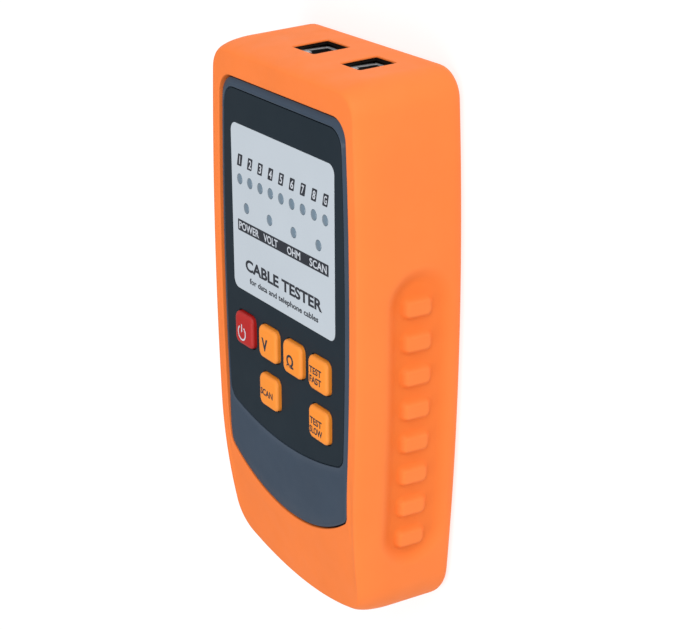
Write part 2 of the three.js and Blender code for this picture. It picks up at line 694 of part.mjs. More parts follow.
add("rubber_boot", rubberBoot(), 0xff8a46, 0.6);
add("front_case", frontCase(), SLATE);
add("rear_case", rearCase(), SLATE);
add("battery_cover", batteryCover(), SLATE);
add("face_overlay", faceOverlay(), 0x303840, 0.45);
add("label_plate", labelPlate(), 0xc8cfd9, 0.4);
for (const key of KEYS) {
  const x = key.column * KEY.column;
  const y = KEY_ROWS[key.row];
  add(key.name, keyCap(), key.colour, 0.55, 0, x, y);
  add(key.name.replace("key", "pill"), carbonPill(), 0x1c1c1c, 0.8, 0, x, y);
}
add("keypad_mat", keypadMat(), 0x8c8f92, 0.7);
add("main_board", mainBoard(), 0x1d5a37, 0.5);
add("led_holder", ledHolder(), 0x15171a, 0.7);
for (const led of ledPlaces()) {
  add(led.name, ledLens(), 0x8296a5, 0.2, 0, led.x, led.y);
}
for (const jack of JACKS) {
  add(`${jack.name}_shell`, jackShell(jack), STEEL, 0.3, 1);
  add(`${jack.name}_insert`, jackInsert(jack), 0x101113, 0.6);
  add(`${jack.name}_contacts`, jackContacts(jack), 0xd0a040, 0.3, 1);
}
add("controller_chip", underBoard(-10, 18, 10, 10, 1.6), 0x18191b);
add("driver_chip", underBoard(11, 20, 6, 10, 1.6), 0x18191b);
add("crystal", underBoard(10, 34, 11, 4.6, 3.4), STEEL, 0.3, 1);
add("capacitor", lyingCapacitor(), 0x23303f);
add("resettable_fuse", underBoard(15, 45, 7, 3, 6), 0xc9a227);
add("battery", battery(), 0x2a2c30, 0.35);
add("battery_snap", batterySnap(), 0x151515);
add("battery_pad", underBoard(0, -25, 24, 14, 0.9), 0x3a3a3a, 0.9);
add("battery_lead_red", batteryLead(-1), 0xb02020);
add("battery_lead_black", batteryLead(1), 0x141414);
CASE_SCREWS.forEach((place, i) => add(`case_screw_${i + 1}`, caseScrew(place), STEEL, 0.35, 1));
BOARD_SCREWS.forEach((place, i) => add(`board_screw_${i + 1}`, boardScrew(place), STEEL, 0.35, 1));

export default tester;
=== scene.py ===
import json
import math
from collections import namedtuple

import bmesh
import bpy
from mathutils import Matrix, Vector


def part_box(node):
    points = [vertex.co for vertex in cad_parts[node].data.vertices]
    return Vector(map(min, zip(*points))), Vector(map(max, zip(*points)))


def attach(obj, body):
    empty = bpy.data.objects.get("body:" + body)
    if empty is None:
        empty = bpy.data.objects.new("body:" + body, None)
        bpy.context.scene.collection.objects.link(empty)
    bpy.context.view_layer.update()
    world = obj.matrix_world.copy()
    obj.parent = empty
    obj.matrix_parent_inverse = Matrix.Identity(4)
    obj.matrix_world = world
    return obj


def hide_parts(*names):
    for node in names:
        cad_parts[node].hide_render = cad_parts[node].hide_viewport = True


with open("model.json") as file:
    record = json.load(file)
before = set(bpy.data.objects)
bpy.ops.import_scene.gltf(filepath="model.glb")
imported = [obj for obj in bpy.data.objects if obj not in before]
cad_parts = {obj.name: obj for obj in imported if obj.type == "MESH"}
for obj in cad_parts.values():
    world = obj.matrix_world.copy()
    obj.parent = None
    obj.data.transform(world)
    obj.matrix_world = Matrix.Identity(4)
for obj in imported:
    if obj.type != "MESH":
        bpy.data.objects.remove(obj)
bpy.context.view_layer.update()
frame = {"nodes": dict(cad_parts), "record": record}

# A handheld cable tester in a rubber boot, lying on its back: +Z out of its face,
# +Y towards the jacks. Shapes are drawn in millimetres and settled in metres.

# ---------------------------------------------------------------- driving dimensions

MM = 0.001
GAP = 0.3                     # clearance between neighbouring pieces

# Outline of the boot, seen from the front
HALF_WIDTH = 42.09
HALF_LENGTH = 81.3
WIDEST_Y = 16.5
SIDE_RADIUS = 800
TOP_CORNER = 9
BOTTOM_CORNER = 12
BOTTOM_RADIUS = 101
TOP_LEAN = 0.05               # the top end leans back, per millimetre of height

# Heights
LIP_Z = 33.5                  # front of the boot
DECK_Z = 33.35                # face of the case
FILM_Z = 33.2                 # face of the overlay and the label
FILM_THICKNESS = 0.4
DECK_PLATE = 2.4
PART_Z = 15                   # joint between front and rear case

# The front falls away towards the bottom end
ROLL_START = -30.7
ROLL_DROP = 6

# Boot
BOOT_WALL = 3
BOOT_TOP_WALL = 1.6
BOOT_BACK = 2
BOOT_LIP = 2.6
LIP_EDGE = 0.35               # round on the edge of the lip
BACK_ROUND = 3.4
FRONT_ROUND_IN = 2.8
FRONT_ROUND_DOWN = 10.6
WINDOW_INSET = 8.5

# Front case
CASE_WALL = 2.2
SHOULDER_Z = LIP_Z - BOOT_LIP - 2 * GAP
RIM_WIDTH = 1.8               # sloping band round the face, clear of the overlay's pocket
FACE_GAP = 0.55               # shadow line between the face and the lip of the boot
RIM_DROP = 0.65
RIM_END_DROP = 0.1            # at the bottom end, where the rim fades out
RIM_FADE = (-24, -40)         # stretch over which it fades

# Face
Spec = namedtuple("Spec", "half_width top bottom top_corner bottom_corner bottom_radius")
BEZEL = Spec(35.9, 70.6, -56.2, 6.5, 4, 54)
OVERLAY = Spec(33.1, 67.2, -33.1, 5.5, 4.5, 105)
LABEL_WIDTH = 56.4
LABEL_HEIGHT = 49.6
LABEL_Y = 32.4
LABEL_CORNER = 2.7

# Grip recess and ribs in each side of the boot
GRIP_TOP = 27.7
GRIP_BOTTOM = -58.5
GRIP_Z = 14.2
GRIP_HALF_WIDTH = 9
GRIP_DEPTH = 1.5
GRIP_TILT = 0.35              # the recess is this share deeper at its front edge
GRIP_SOFT = 5                 # width of the soft edge of the recess
RIB_COUNT = 8
RIB_PITCH = 10
RIB_FIRST_Y = 18.2
RIB_Z = 14.9
RIB_LENGTH = 8.5
RIB_HEIGHT = 5.2
RIB_CORNER = 1.6
RIB_SOFT = 1.7                # width of the soft edge of a rib

# Keys
KEY_WIDTH = 10.3
KEY_HEIGHT = 10
KEY_CORNER = 2
KEY_TOP = 34.86
KEY_CROWN = 0.28
KEY_FLANGE_Z = 30.7

# Ports: openings in the boot over the jacks, and the case's raised surround under each
PORT_HEIGHT = 11.8
PORT_Z = 16.1
PORT_WIDTHS = {"rj45": 12.2, "rj11": 10.2}
PORT_SKIN = 0.45              # thickness of the boot round a port
PORT_MARGIN = 2.8             # width of the surround
PORT_RIM = 0.5                # thickness of the surround over the edges of a jack
PORT_MOUTH = ((-10, 0), (-0.25, 0), (-0.08, 0.05), (0, 0.2), (1, 1.2))
SURROUND_DEPTH = 3.9          # how far a surround reaches down from the top end
RELIEF_DEPTH = 4.5            # and how far the boot is thinned over it
PORT_SHADE_Y = 74             # beyond this the case shows only through the ports

# Points along each stretch of an outline
Steps = namedtuple("Steps", "top corner side base")
FINE = Steps(24, 12, 330, 24)
MEDIUM = Steps(16, 10, 60, 24)


# ---------------------------------------------------------------- outlines

def arc(centre, radius, start, end, steps):
    points = []
    for i in range(steps + 1):
        angle = start + (end - start) * i / steps
        points.append((centre[0] + radius * math.cos(angle), centre[1] + radius * math.sin(angle)))
    return points


def corner_centre(a, radius_a, b, radius_b):
    """Centre of the circle that touches two larger circles from inside."""
    dx, dy = b[0] - a[0], b[1] - a[1]
    distance = math.hypot(dx, dy)
    along = (radius_a ** 2 - radius_b ** 2 + distance ** 2) / (2 * distance)
    across = math.sqrt(radius_a ** 2 - along ** 2)
    dx, dy = dx / distance, dy / distance
    return (a[0] + dx * along - dy * across, a[1] + dy * along + dx * across)


def angle_to(start, end):
    return math.atan2(end[1] - start[1], end[0] - start[0])


def outline(spec, steps=MEDIUM):
    """A barrel shape: flat top, bowed sides, arched bottom, round corners. Counter-clockwise,
    and the same number of points for every shape, so that outlines can be lofted."""
    side = (spec.half_width - SIDE_RADIUS, WIDEST_Y)
    top_y = spec.top - spec.top_corner
    top_x = side[0] + math.sqrt((SIDE_RADIUS - spec.top_corner) ** 2 - (top_y - side[1]) ** 2)
    top_centre = (top_x, top_y)
    base = (0, spec.bottom + spec.bottom_radius)
    bottom_centre = corner_centre(
        base, spec.bottom_radius - spec.bottom_corner, side, SIDE_RADIUS - spec.bottom_corner)
    side_top = angle_to(side, top_centre)
    side_bottom = angle_to(side, bottom_centre)
    base_angle = angle_to(base, bottom_centre)
    right = [(top_x * i / steps.top, spec.top) for i in range(steps.top)]
    right += arc(top_centre, spec.top_corner, math.pi / 2, side_top, steps.corner)
    right += arc(side, SIDE_RADIUS, side_top, side_bottom, steps.side)[1:-1]
    right += arc(bottom_centre, spec.bottom_corner, side_bottom, base_angle, steps.corner)
    right += arc(base, spec.bottom_radius, base_angle, -math.pi / 2, steps.base)[1:]
    left = [(-x, y) for x, y in right[1:-1]]
    return left + right[::-1]


def shrunk(spec, inset):
    return spec._replace(
        half_width=spec.half_width - inset, top=spec.top - inset, bottom=spec.bottom + inset)


def body_spec(wall, top_wall=None, height=BACK_ROUND):
    top_wall = wall if top_wall is None else top_wall
    return Spec(
        HALF_WIDTH - wall,
        HALF_LENGTH - top_wall - TOP_LEAN * (height - BACK_ROUND),
        wall - HALF_LENGTH,
        max(TOP_CORNER - wall, 2),
        max(BOTTOM_CORNER - wall, 3),
        BOTTOM_RADIUS - wall)


def roll(y):
    """How far the front has fallen at a place along the tester."""
    return ROLL_DROP * (max(ROLL_START - y, 0) / (HALF_LENGTH + ROLL_START)) ** 2


def level(points, height):
    return [(x, y, height) for x, y in points]


def rolled(points, height):
    return [(x, y, height - roll(y)) for x, y in points]


def between(start, end, share):
    return [tuple(a + (b - a) * share for a, b in zip(p, q)) for p, q in zip(start, end)]


def rounded_rect(width, height, corner, steps=8, x=0, y=0):
    points = []
    for side_x, side_y, start in ((1, -1, -90), (1, 1, 0), (-1, 1, 90), (-1, -1, 180)):
        centre = (x + side_x * (width / 2 - corner), y + side_y * (height / 2 - corner))
        points += arc(centre, corner, math.radians(start), math.radians(start + 90), steps)
    return points


def circle(x, y, radius, steps=32):
    return arc((x, y), radius, 0, math.tau, steps)[:-1]


# ---------------------------------------------------------------- surfaces

def bands(rings, joined=False):
    """Four-sided faces between rings with the same number of points."""
    count = len(rings[0])
    faces = []
    for r in range(len(rings) if joined else len(rings) - 1):
        a = r * count
        b = (r + 1) % len(rings) * count
        for i in range(count):
            j = (i + 1) % count
            faces.append((a + i, a + j, b + j, b + i))
    return faces


def strips(start, count):
    """A cap across an outline, in strips between its mirrored points."""
    half = count // 2 + 1

    def pair(k):
        return start + k - 1, start + (half - 2) + (half - 1 - k)

    top = start + count - 1
    bottom = start + half - 2
    faces = [(top, pair(1)[0], pair(1)[1])]
    for k in range(1, half - 2):
        faces.append((pair(k)[0], pair(k + 1)[0], pair(k + 1)[1], pair(k)[1]))
    faces.append((pair(half - 2)[0], bottom, pair(half - 2)[1]))
    return faces


def loft(rings, joined=False, cap="polygon"):
    vertices = [p for points in rings for p in points]
    faces = bands(rings, joined)
    count = len(rings[0])
    last = (len(rings) - 1) * count
    if not joined and cap == "polygon":
        faces += [tuple(range(count))[::-1], tuple(range(last, last + count))]
    elif not joined:
        faces += strips(0, count) + strips(last, count)
    return vertices, faces


def prism(points, z0, z1):
    return loft([level(points, z0), level(points, z1)])


def together(*solids):
    vertices, faces = [], []
    for more_vertices, more_faces in solids:
        start = len(vertices)
        vertices += more_vertices
        faces += [tuple(i + start for i in face) for face in more_faces]
    return vertices, faces


def moved(solid, x, y, z=0):
    vertices, faces = solid
    return [(px + x, py + y, pz + z) for px, py, pz in vertices], faces


def new_object(name, solid, material=None):
    mesh = bpy.data.meshes.new(name)
    mesh.from_pydata(solid[0], [], solid[1])
    shape = bmesh.new()
    shape.from_mesh(mesh)
    bmesh.ops.recalc_face_normals(shape, faces=shape.faces)
    shape.to_mesh(mesh)
    shape.free()
    if material:
        mesh.materials.append(material)
    piece = bpy.data.objects.new(name, mesh)
    bpy.context.scene.collection.objects.link(piece)
    return piece


def carve(piece, *solids, operation="DIFFERENCE"):
    """Cuts closed solids out of a piece, or joins them to it."""
    tools = [new_object("tool", solid) for solid in solids]
    for tool in tools:
        change = piece.modifiers.new("change", "BOOLEAN")
        change.operation = operation
        change.solver = "EXACT"
        change.object = tool
    bpy.context.view_layer.update()
    graph = bpy.context.evaluated_depsgraph_get()
    carved = bpy.data.meshes.new_from_object(piece.evaluated_get(graph))
    piece.modifiers.clear()
    piece.data = carved
    for tool in tools:
        bpy.data.objects.remove(tool)


def settle(piece, replaced=(), body="tester", sharp=35):
    """Scales a finished piece to metres, shades it and ties it to the frame."""
    piece.data.transform(Matrix.Scale(MM, 4))
    piece.data.shade_smooth()
    piece.data.set_sharp_from_angle(angle=math.radians(sharp))
    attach(piece, body)
    if replaced:
        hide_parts(*replaced)


def middle(node):
    """Middle of a CAD node, in millimetres."""
    low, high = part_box(node)
    return (Vector(low) + Vector(high)) / 2 / MM


# ---------------------------------------------------------------- materials

def noise(tree, scale, detail, offset=0.0):
    place = tree.nodes.new("ShaderNodeTexCoord")
    texture = tree.nodes.new("ShaderNodeTexNoise")
    texture.noise_dimensions = "4D"
    texture.inputs["W"].default_value = offset
    texture.inputs["Scale"].default_value = scale
    texture.inputs["Detail"].default_value = detail
    tree.links.new(place.outputs["Object"], texture.inputs["Vector"])
    return texture.outputs["Fac"]


def spread(tree, source, low, high):
    """Maps a noise of about 0.3 to 0.7 onto low to high."""
    span = tree.nodes.new("ShaderNodeMapRange")
    span.inputs["From Min"].default_value = 0.3
    span.inputs["From Max"].default_value = 0.7
    span.inputs["To Min"].default_value = low
    span.inputs["To Max"].default_value = high
    tree.links.new(source, span.inputs["Value"])
    return span.outputs["Result"]


def tint(colour, factor):
    return (*[min(c * factor, 1) for c in colour], 1)


def mottled(tree, colour, mottle):
    """A colour that wanders a little lighter and darker."""
    ramp = tree.nodes.new("ShaderNodeValToRGB")
    ramp.color_ramp.elements[0].position = 0.3
    ramp.color_ramp.elements[0].color = tint(colour, 1 - mottle)
    ramp.color_ramp.elements[1].position = 0.7
    ramp.color_ramp.elements[1].color = tint(colour, 1 + mottle)
    tree.links.new(noise(tree, 55, 3, 1.7), ramp.inputs["Fac"])
    return ramp.outputs["Color"]


def blended(tree, plain, other, amount):
    """A colour that turns towards another by an amount of 0 to 1."""
    mix = tree.nodes.new("ShaderNodeMix")
    mix.data_type = "RGBA"
    mix.inputs["B"].default_value = tint(other, 1)
    tree.links.new(amount, mix.inputs["Factor"])
    tree.links.new(plain, mix.inputs["A"])
    return mix.outputs["Result"]


def edges(tree, worn):
    """How far the edges have been rubbed, from 0 to worn."""
    ramp = tree.nodes.new("ShaderNodeValToRGB")
    ramp.color_ramp.elements[0].position = 0.505
    ramp.color_ramp.elements[0].color = (0, 0, 0, 1)
    ramp.color_ramp.elements[1].position = 0.56
    ramp.color_ramp.elements[1].color = (worn, worn, worn, 1)
    geometry = tree.nodes.new("ShaderNodeNewGeometry")
    tree.links.new(geometry.outputs["Pointiness"], ramp.inputs["Fac"])
    return ramp.outputs["Color"]


def grained(tree, grain, depth):
    """A fine grain, with its size and its height in millimetres."""
    bump = tree.nodes.new("ShaderNodeBump")
    bump.inputs["Strength"].default_value = 1.0
    bump.inputs["Distance"].default_value = depth * MM
    tree.links.new(noise(tree, 1 / (grain * MM), 2, 9.3), bump.inputs["Height"])
    return bump.outputs["Normal"]


def finish(name, colour, roughness, grain=0.3, depth=0.01, mottle=0.04, metallic=0.0,
           specular=0.5, coat=0.0, worn=0.0):
    """A surface with mottled colour, uneven gloss, a fine grain and paler worn edges."""
    material = bpy.data.materials.new(name)
    material.use_nodes = True
    tree = material.node_tree
    shader = tree.nodes["Principled BSDF"]
    shader.inputs["Metallic"].default_value = metallic
    shader.inputs["Specular IOR Level"].default_value = specular
    shader.inputs["Coat Weight"].default_value = coat
    shader.inputs["Coat Roughness"].default_value = 0.12
    base = mottled(tree, colour, mottle)
    if worn:
        base = blended(tree, base, [c + 0.12 for c in colour], edges(tree, worn))
    tree.links.new(base, shader.inputs["Base Color"])
    gloss = spread(tree, noise(tree, 140, 4, 5.1), roughness * 0.9, min(roughness * 1.12, 1))
    tree.links.new(gloss, shader.inputs["Roughness"])
    tree.links.new(grained(tree, grain, depth), shader.inputs["Normal"])
    return material


def recolour(material, amount, colour):
    """Turns a finished material towards another colour by the amount that a socket gives."""
    tree = material.node_tree
    base = tree.nodes["Principled BSDF"].inputs["Base Color"]
    plain = base.links[0].from_socket
    tree.links.new(blended(tree, plain, colour, amount), base)


def paint_shade_by_mask(material, mask, colour):
    """Paints shade into a material: turns it towards a darker colour where a mask on the mesh says so.
    """
    share = material.node_tree.nodes.new("ShaderNodeAttribute")
    share.attribute_name = mask
    recolour(material, share.outputs["Fac"], colour)


def paint_port_shade(material):
    """Paints shade on a case plastic: turns it black towards the top end, where it lines the ports and
    their walls lie in shade.
    """
    tree = material.node_tree
    place = tree.nodes.new("ShaderNodeTexCoord")
    split = tree.nodes.new("ShaderNodeSeparateXYZ")
    tree.links.new(place.outputs["Object"], split.inputs["Vector"])
    span = tree.nodes.new("ShaderNodeMapRange")
    span.inputs["From Min"].default_value = PORT_SHADE_Y * MM
    span.inputs["From Max"].default_value = (PORT_SHADE_Y + 0.5) * MM
    tree.links.new(split.outputs["Y"], span.inputs["Value"])
    # Painted shade: near-black for the walls of the ports.
    recolour(material, span.outputs["Result"], (0.01, 0.008, 0.007))


ORANGE = finish("boot_silicone", (0.96, 0.226, 0.047), 0.62, 0.22, 0.010, 0.03, specular=0.2)
# Painted shade: the rubber turns darker and deeper orange with the depth of the grip recess.
paint_shade_by_mask(ORANGE, "recess", (0.89, 0.186, 0.028))
SLATE_COLOUR = (0.044, 0.066, 0.1)
SLATE = finish("case_plastic", SLATE_COLOUR, 0.5, 0.18, 0.012, 0.05, specular=0.15, worn=0.25)
BACK_PLASTIC = finish("back_plastic", SLATE_COLOUR, 0.5, 0.18, 0.012, 0.05, specular=0.15)
paint_port_shade(SLATE)
paint_port_shade(BACK_PLASTIC)
FILM = finish("overlay_film", (0.017, 0.027, 0.037), 0.42, 0.12, 0.004, 0.05, specular=0.05)
PALE = finish("label_film", (0.54, 0.6, 0.66), 0.45, 0.12, 0.003, 0.015, specular=0.2)
RED = finish("power_key", (0.46, 0.014, 0.012), 0.45, 0.2, 0.006, 0.05, specular=0.2, worn=0.4)
AMBER = finish("orange_key", (0.95, 0.29, 0.03), 0.45, 0.2, 0.006, 0.03, specular=0.2, worn=0.4)
INK = finish("dark_ink", (0.02, 0.024, 0.035), 0.5, 0.1, 0.002, 0.08, specular=0.3)
LIGHT_INK = finish("pale_ink", (0.6, 0.64, 0.7), 0.5, 0.1, 0.002, 0.03, specular=0.3)
LENS = finish("led_lens", (0.155, 0.223, 0.29), 0.25, 0.5, 0.004, 0.08, coat=0.3)
BLACK = finish("black_plastic", (0.012, 0.012, 0.014), 0.45, 0.2, 0.008, 0.1, specular=0.4)
STEEL = finish("plated_steel", (0.9, 0.9, 0.92), 0.35, 0.4, 0.003, 0.05, metallic=0.5)
SCREW = finish("screw_steel", (0.5, 0.5, 0.52), 0.35, 0.15, 0.004, 0.12, metallic=1, worn=0.3)
GOLD = finish("gold_contact", (0.85, 0.58, 0.2), 0.25, 0.3, 0.002, 0.05, metallic=1)
CARBON = finish("carbon_pill", (0.012, 0.012, 0.012), 0.8, 0.1, 0.01, 0.2)
MAT = finish("keypad_silicone", (0.26, 0.27, 0.28), 0.6, 0.2, 0.008, 0.05)
BOARD = finish("circuit_board", (0.01, 0.1, 0.035), 0.35, 0.3, 0.006, 0.1, coat=0.3)
SLEEVE = finish("capacitor_sleeve", (0.02, 0.03, 0.06), 0.3, 0.4, 0.004, 0.1)
RESIN = finish("fuse_resin", (0.5, 0.32, 0.02), 0.3, 0.5, 0.01, 0.08, coat=0.4)
CAN = finish("battery_can", (0.02, 0.022, 0.028), 0.3, 0.5, 0.003, 0.1, metallic=0.3, coat=0.3)
FOAM = finish("foam_pad", (0.04, 0.04, 0.04), 0.9, 0.5, 0.15, 0.2)
RED_WIRE = finish("red_wire", (0.45, 0.02, 0.02), 0.4, 0.2, 0.004, 0.05)

SLOT_MATERIALS = {
    "case_plastic": BACK_PLASTIC, "carbon": CARBON, "keypad_rubber": MAT, "circuit_board": BOARD,
    "black_plastic": BLACK, "plated_steel": STEEL, "gold_contact": GOLD,
    "capacitor_sleeve": SLEEVE, "fuse_resin": RESIN, "battery_can": CAN, "foam": FOAM,
    "red_wire": RED_WIRE, "screw_steel": SCREW,
}


def finish_cad_nodes():
    """Gives the CAD nodes that stay their materials."""
    for part in frame["record"]["subparts"]:
        material = SLOT_MATERIALS.get(part["material_slot"])
        if material:
            node = frame["nodes"][part["node"]]
            node.data.materials.clear()
            node.data.materials.append(material)


# ---------------------------------------------------------------- boot

def soft_step(distance, width):
    """0 well outside an edge, 1 well inside it."""
    share = min(max(distance / width + 0.5, 0), 1)
    return share * share * (3 - 2 * share)


def inside(y, z, centre_y, centre_z, half_y, half_z, corner):
    """How far a point is inside a rounded rectangle."""
    over_y = abs(y - centre_y) - (half_y - corner)
    over_z = abs(z - centre_z) - (half_z - corner)
    outside = math.hypot(max(over_y, 0), max(over_z, 0))
    return corner - outside - min(max(over_y, over_z), 0)


def grip_share(y, z):
    """1 inside the grip recess but off its ribs, 0 elsewhere."""
    half_length = (GRIP_TOP - GRIP_BOTTOM) / 2
    recess = soft_step(inside(y, z, GRIP_TOP - half_length, GRIP_Z, half_length,
                              GRIP_HALF_WIDTH, GRIP_HALF_WIDTH), GRIP_SOFT)
    nearest = min(max(round((RIB_FIRST_Y - y) / RIB_PITCH), 0), RIB_COUNT - 1)
    rib = soft_step(inside(y, z, RIB_FIRST_Y - nearest * RIB_PITCH, RIB_Z, RIB_HEIGHT / 2,
                           RIB_LENGTH / 2, RIB_CORNER), RIB_SOFT)
    return recess * (1 - rib)


def grip_depth(y, z):
    tilt = 1 + GRIP_TILT * (z - GRIP_Z) / GRIP_HALF_WIDTH
    return GRIP_DEPTH * tilt * grip_share(y, z)


def pressed(points):
    return [(x - math.copysign(grip_depth(y, z), x) if abs(x) > HALF_WIDTH / 2 else x, y, z)
            for x, y, z in points]


def paint_recess_shade(boot):
    """Marks how deep in the grip recess each vertex is, for painted shade that darkens the rubber there.
    """
    mask = boot.data.attributes.new("recess", "FLOAT", "POINT")
    for vertex, value in zip(boot.data.vertices, mask.data):
        x, y, z = vertex.co
        value.value = grip_depth(y, z) / GRIP_DEPTH if abs(x) > HALF_WIDTH / 2 else 0


def boot_sides():
    """Rings up the outside of the boot, from its back rim to its lip."""
    rings = []
    back_steps, side_steps, front_steps = 8, 42, 26
    for i in range(back_steps):
        turn = math.pi / 2 * i / back_steps
        inset = BACK_ROUND * (1 - math.sin(turn))
        height = BACK_ROUND * (1 - math.cos(turn))
        rings.append(level(outline(body_spec(inset, inset, height), FINE), height))
    for i in range(side_steps):
        share = i / side_steps
        height = BACK_ROUND + (LIP_Z - FRONT_ROUND_DOWN - BACK_ROUND) * share
        points = outline(body_spec(0, 0, height), FINE)
        rings.append([(x, y, height - roll(y) * share) for x, y in points])
    for i in range(front_steps + 1):
        turn = math.pi / 2 * (1 - i / front_steps)
        inset = FRONT_ROUND_IN * (1 - math.sin(turn))
        height = LIP_Z - FRONT_ROUND_DOWN * (1 - math.cos(turn))
        rings.append(rolled(outline(body_spec(inset, inset, height), FINE), height))
    return [pressed(points) for points in rings]


def lip_edge():
    """Rings over the rounded edge of the lip, round the face."""
    rings = []
    for i in range(5):
        turn = math.pi / 2 * i / 4
        inset = -LIP_EDGE * (1 - math.sin(turn))
        height = LIP_Z - LIP_EDGE * (1 - math.cos(turn))
        rings.append(rolled(outline(shrunk(BEZEL, inset), FINE), height))
    return rings


def port_block(name, profile, corner=0.6):
    """A block over a jack, through rings at heights above the boot's leaning top end,
    each wider than the port by a margin."""
    x = middle(f"{name}_shell").x
    rings = []
    for height, margin in profile:
        shape = rounded_rect(PORT_WIDTHS[name] + 2 * margin, PORT_HEIGHT + 2 * margin,
                             corner + max(margin, 0), 4, x, PORT_Z)
        rings.append([(px, HALF_LENGTH - TOP_LEAN * (pz - BACK_ROUND) + height, pz) for px, pz in shape])
    return loft(rings)


def port(name):
    """Cutter for the opening in the boot, with a softly rounded mouth."""
    return port_block(name, PORT_MOUTH)


def surround(name):
    return port_block(name, ((-SURROUND_DEPTH, PORT_MARGIN), (-PORT_SKIN - GAP, PORT_MARGIN)))


def relief(name):
    """Cutter that thins the boot over a surround."""
    margin = PORT_MARGIN + GAP
    return port_block(name, ((-RELIEF_DEPTH, margin), (-PORT_SKIN, margin)))


def case_port(name):
    """Cutter for the opening in a surround."""
    return port_block(name, ((-4, -GAP / 2), (1, -GAP / 2)))


def jack_room(name):
    """Cutter for the jack in the case and its surround."""
    (x0, y0, z0), (x1, y1, z1) = [[c / MM for c in corner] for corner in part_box(f"{name}_shell")]
    shape = [(x0 - GAP, z0 - GAP), (x1 + GAP, z0 - GAP), (x1 + GAP, z1 + GAP), (x0 - GAP, z1 + GAP)]
    roof = HALF_LENGTH - PORT_SKIN - GAP - PORT_RIM
    return loft([[(x, y0, z) for x, z in shape],
                 [(x, roof - TOP_LEAN * (z - BACK_ROUND), z) for x, z in shape]])


def rubber_boot():
    sides = boot_sides()
    edge = lip_edge()
    window = outline(body_spec(WINDOW_INSET), FINE)
    cavity = outline(body_spec(BOOT_WALL, BOOT_TOP_WALL, LIP_Z - BOOT_LIP), FINE)
    hollow = rolled(cavity, LIP_Z - BOOT_LIP)
    under_lip = rolled(outline(BEZEL, FINE), LIP_Z - BOOT_LIP)
    rings = [level(window, 0), *sides]
    rings += [between(sides[-1], edge[0], share) for share in (0.25, 0.5, 0.75)]
    rings += edge
    rings += [under_lip, between(under_lip, hollow, 0.5), hollow]
    floor = BOOT_BACK + BOOT_WALL
    rings.append(level(outline(body_spec(BOOT_WALL, BOOT_TOP_WALL, floor), FINE), floor))
    rings.append(level(outline(
        body_spec(2 * BOOT_WALL, BOOT_TOP_WALL + BOOT_WALL, BOOT_BACK), FINE), BOOT_BACK))
    rings.append(level(window, BOOT_BACK))
    boot = new_object("boot_skin", loft(rings, joined=True), ORANGE)
    carve(boot, *[relief(name) for name in PORT_WIDTHS])
    carve(boot, *[port(name) for name in PORT_WIDTHS])
    paint_recess_shade(boot)
    settle(boot, ["rubber_boot"], sharp=40)


# ---------------------------------------------------------------- case and face

def key_names():
    return [name for name in frame["nodes"] if name.startswith("key_")]


def led_names():
    return [name for name in frame["nodes"] if name.startswith("led_") and name != "led_holder"]


def key_openings(clearance):
    cutters = []
    for name in key_names():
        place = middle(name)
        shape = rounded_rect(KEY_WIDTH + 2 * clearance, KEY_HEIGHT + 2 * clearance,
                             KEY_CORNER + clearance, 8, place.x, place.y)
        cutters.append(prism(shape, DECK_Z - 4, DECK_Z + 1))
    return together(*cutters)


def led_openings(radius):
    places = [middle(name) for name in led_names()]
    return together(*[prism(circle(p.x, p.y, radius), DECK_Z - 4, DECK_Z + 1) for p in places])


def case_ring(inset, height):
    return rolled(outline(body_spec(
        BOOT_WALL + GAP + inset, BOOT_TOP_WALL + GAP + inset, height)), height)


def rim_drop(y):
    start, end = RIM_FADE
    share = min(max((start - y) / (start - end), 0), 1)
    return RIM_DROP + (RIM_END_DROP - RIM_DROP) * share


def rim():
    """Rings up the sloping rim round the face."""
    rings = []
    for inset, drop in ((0, 0.3), (0.1, 0.1), (0.4, 0)):
        edge = rolled(outline(shrunk(BEZEL, FACE_GAP + inset)), DECK_Z - drop)
        rings.append([(x, y, z - rim_drop(y)) for x, y, z in edge])
    inner = shrunk(BEZEL, GAP + RIM_WIDTH)
    rings.append(rolled(outline(shrunk(inner, -0.3)), DECK_Z - 0.1))
    rings.append(rolled(outline(inner), DECK_Z))
    return rings


def pocket():
    """Rings down into the pocket that holds the overlay."""
    rings = [rolled(outline(shrunk(OVERLAY, -GAP - grow)), DECK_Z - drop)
             for grow, drop in ((0.3, 0), (0.09, 0.09), (0, 0.3))]
    floor = FILM_Z - FILM_THICKNESS - GAP
    return rings + [level(outline(shrunk(OVERLAY, -GAP)), floor)]


def deck(rim_ring, pocket_ring):
    """Rings across the face, from the rim to the pocket."""
    start = [(x, y) for x, y, z in rim_ring]
    end = [(x, y) for x, y, z in pocket_ring]
    return [rolled(between(start, end, share), DECK_Z) for share in (0.15, 0.3, 0.45, 0.6, 0.75, 0.9)]


def case_walls():
    """Rings from under the face, down the inside of the walls and up their outside."""
    inner = outline(shrunk(BEZEL, GAP + CASE_WALL))
    joint = PART_Z + GAP / 2
    return [
        rolled(inner, DECK_Z - DECK_PLATE),
        rolled(inner, SHOULDER_Z - CASE_WALL),
        case_ring(CASE_WALL, SHOULDER_Z - CASE_WALL),
        level(outline(body_spec(BOOT_WALL + GAP + CASE_WALL, None, PART_Z)), joint),
        level(outline(body_spec(BOOT_WALL + GAP, BOOT_TOP_WALL + GAP, PART_Z)), joint),
        case_ring(0, SHOULDER_Z),
        rolled(outline(shrunk(BEZEL, FACE_GAP)), SHOULDER_Z),
    ]


def below_joint():
    """Everything below the joint between the two shells."""
    reach = HALF_LENGTH
    return prism([(-reach, 0), (reach, 0), (reach, reach), (-reach, reach)], 0, PART_Z + GAP / 2)


